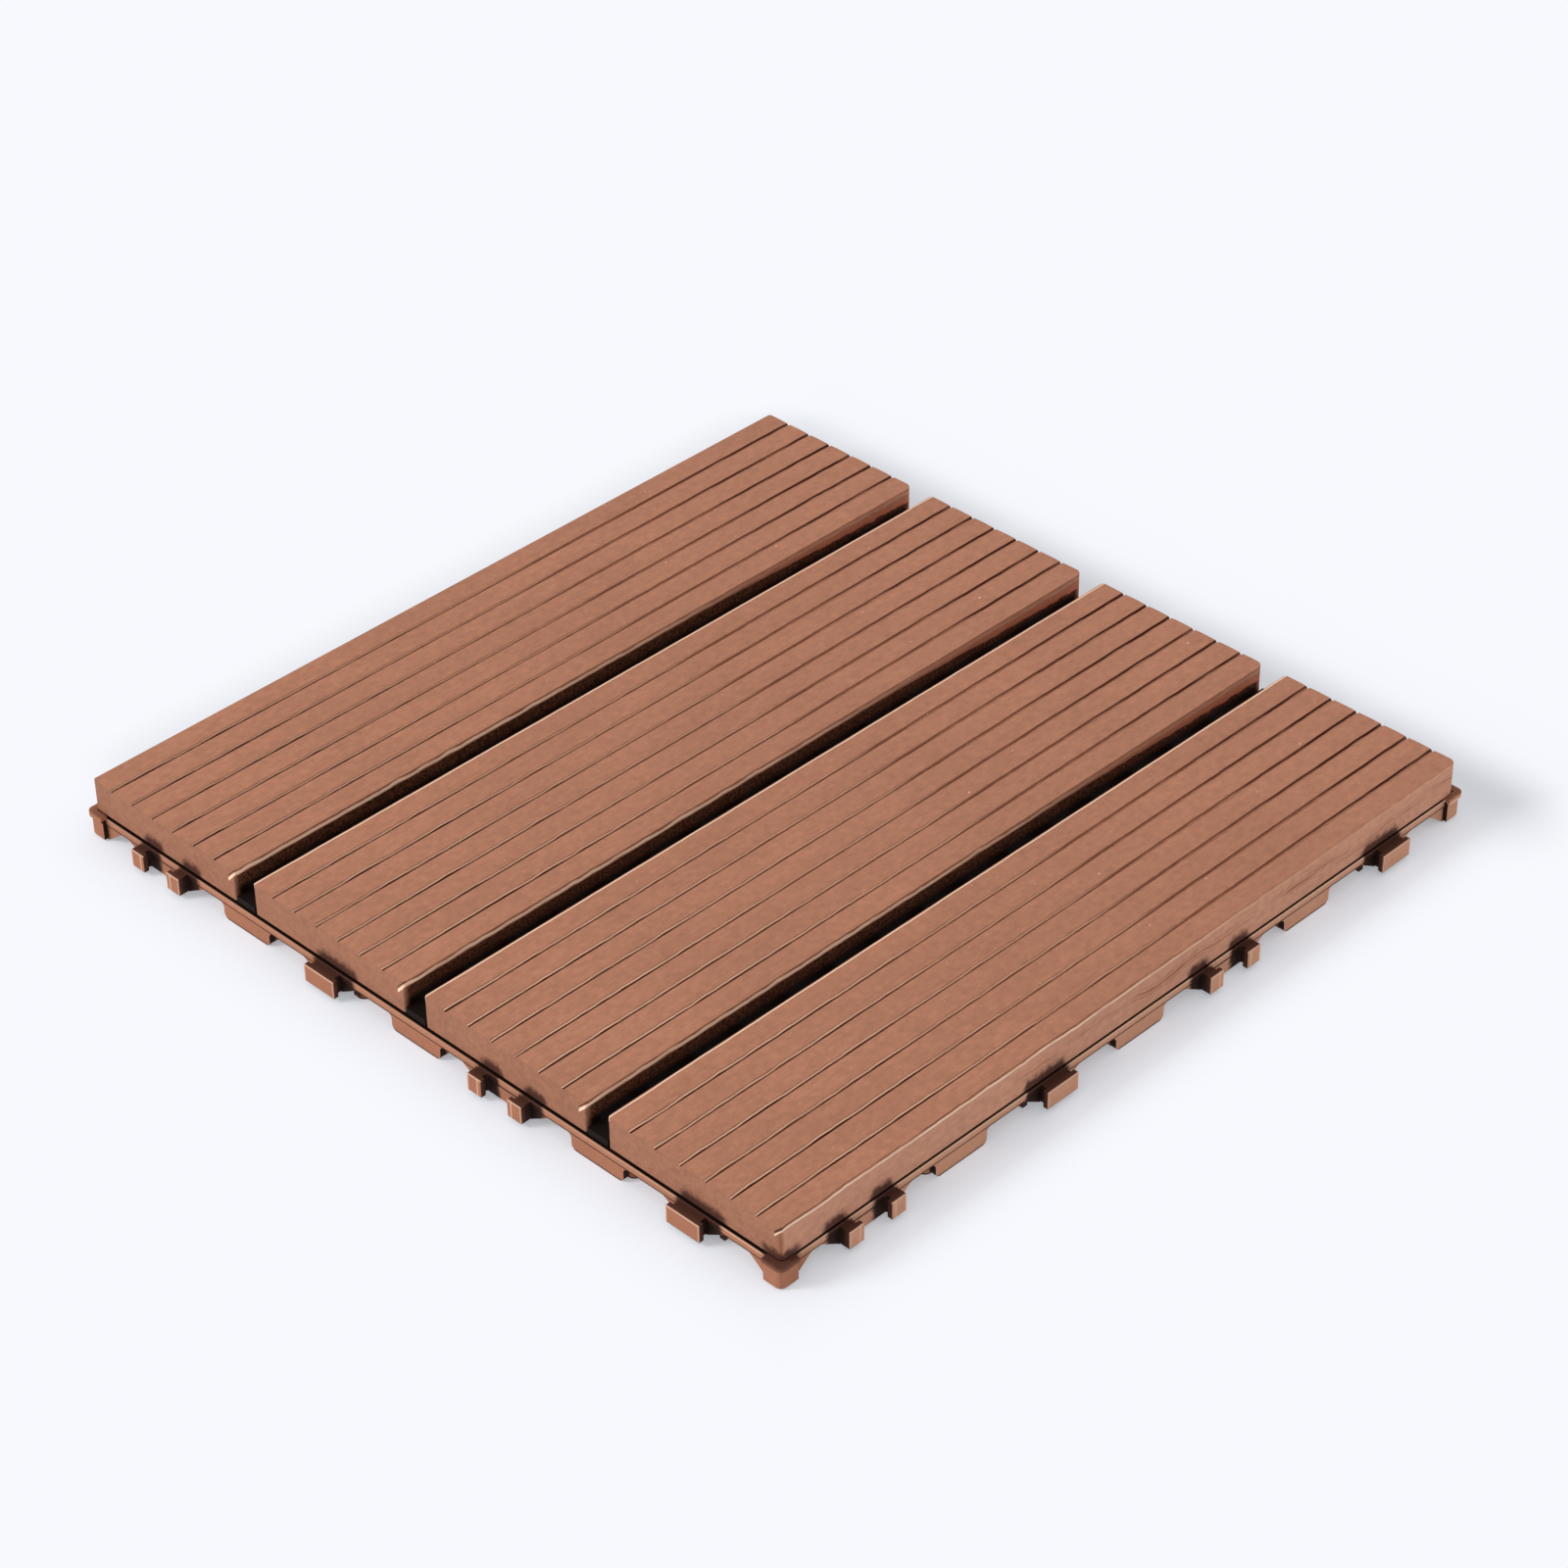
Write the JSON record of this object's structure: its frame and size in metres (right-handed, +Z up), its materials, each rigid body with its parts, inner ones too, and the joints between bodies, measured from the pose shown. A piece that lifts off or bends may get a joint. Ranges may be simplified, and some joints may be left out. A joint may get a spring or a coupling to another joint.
{
  "type": "interlocking deck tile",
  "caption": "Square interlocking outdoor deck tile: grooved composite slats screwed to a moulded lattice base with hooked prongs and tabs along every side.",
  "frame": {"origin": "on the ground under the middle of the tile", "axes": "+Z up, +Y along the slats, +X across the slats"},
  "size_m": [0.308, 0.308, 0.0206],
  "materials": {
    "slat_composite": "brushed wood-plastic composite, matt, terracotta brown",
    "base_plastic": "injection moulded polypropylene, satin, terracotta brown",
    "screw_steel": "plain stainless steel"
  },
  "bodies": {
    "root": {"base_grid": "base_plastic", "slat_1": "slat_composite", "slat_2": "slat_composite", "slat_3": "slat_composite", "slat_4": "slat_composite", "deck_screws": "screw_steel"}
  },
  "joints": []
}
